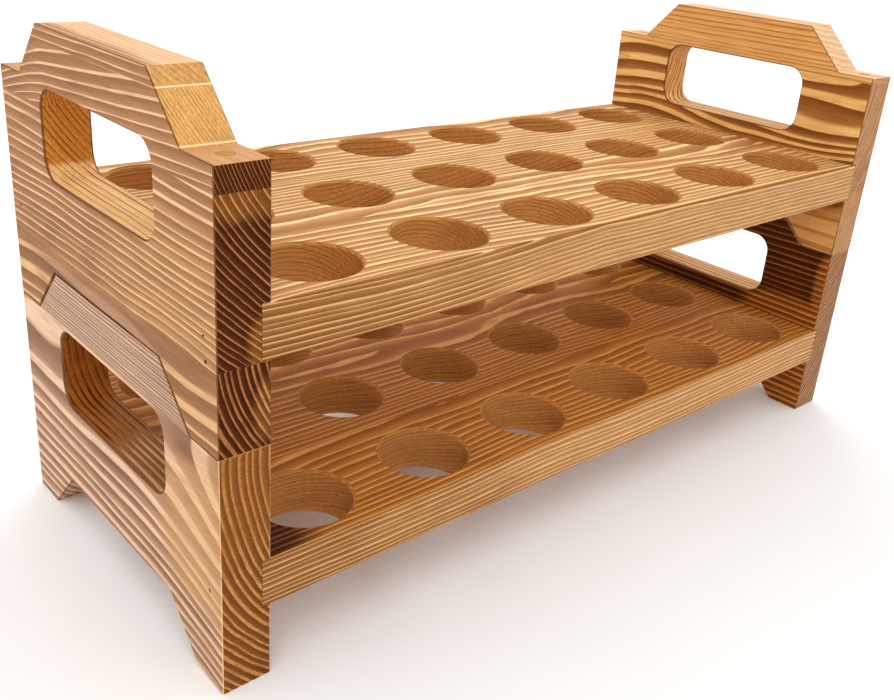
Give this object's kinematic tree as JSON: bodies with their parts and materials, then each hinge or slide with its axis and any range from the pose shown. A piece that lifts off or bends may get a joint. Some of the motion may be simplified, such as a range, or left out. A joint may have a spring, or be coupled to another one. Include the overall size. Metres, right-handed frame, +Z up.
{
  "type": "egg holder tray",
  "caption": "Stackable wooden egg trays: shelves with rows of round egg seats let into end boards that have raised handles with hand slots, and notched feet that nest over the handles below.",
  "frame": {"origin": "middle of the lower tray's footprint, on the surface that it stands on", "axes": "+X along the length towards the right end, +Y from the front to the back, +Z up"},
  "size_m": [0.4, 0.168, 0.215],
  "materials": {
    "end_board_wood": "scorched and brushed softwood under a thin clear coat",
    "shelf_wood": "lightly scorched and brushed softwood under a thin clear coat",
    "dowel_wood": "end grain of a hardwood dowel, cut flush",
    "brad_steel": "bare steel brad, set below the surface"
  },
  "bodies": {
    "lower_tray": {"lower_shelf_front_stave": "shelf_wood", "lower_shelf_middle_stave": "shelf_wood", "lower_shelf_back_stave": "shelf_wood", "lower_left_end_main_stave": "end_board_wood", "lower_left_end_handle_stave": "end_board_wood", "lower_left_end_brads": "brad_steel", "lower_right_end_foot_stave": "end_board_wood", "lower_right_end_handle_stave": "end_board_wood", "lower_right_end_brads": "brad_steel"},
    "upper_tray": {"upper_shelf_front_stave": "shelf_wood", "upper_shelf_middle_stave": "shelf_wood", "upper_shelf_back_stave": "shelf_wood", "upper_left_end_foot_stave": "end_board_wood", "upper_left_end_middle_stave": "end_board_wood", "upper_left_end_handle_stave": "end_board_wood", "upper_left_end_crest_stave": "end_board_wood", "upper_left_end_brads": "brad_steel", "upper_left_shoulder_dowels": "dowel_wood", "upper_right_end_foot_stave": "end_board_wood", "upper_right_end_middle_stave": "end_board_wood", "upper_right_end_handle_stave": "end_board_wood", "upper_right_end_brads": "brad_steel", "upper_right_shoulder_dowels": "dowel_wood"}
  },
  "joints": [
    {"name": "upper_tray_lift", "type": "slide", "parent": "lower_tray", "child": "upper_tray", "axis": [0, 0, 1], "range_m": [0, 0.06]}
  ]
}
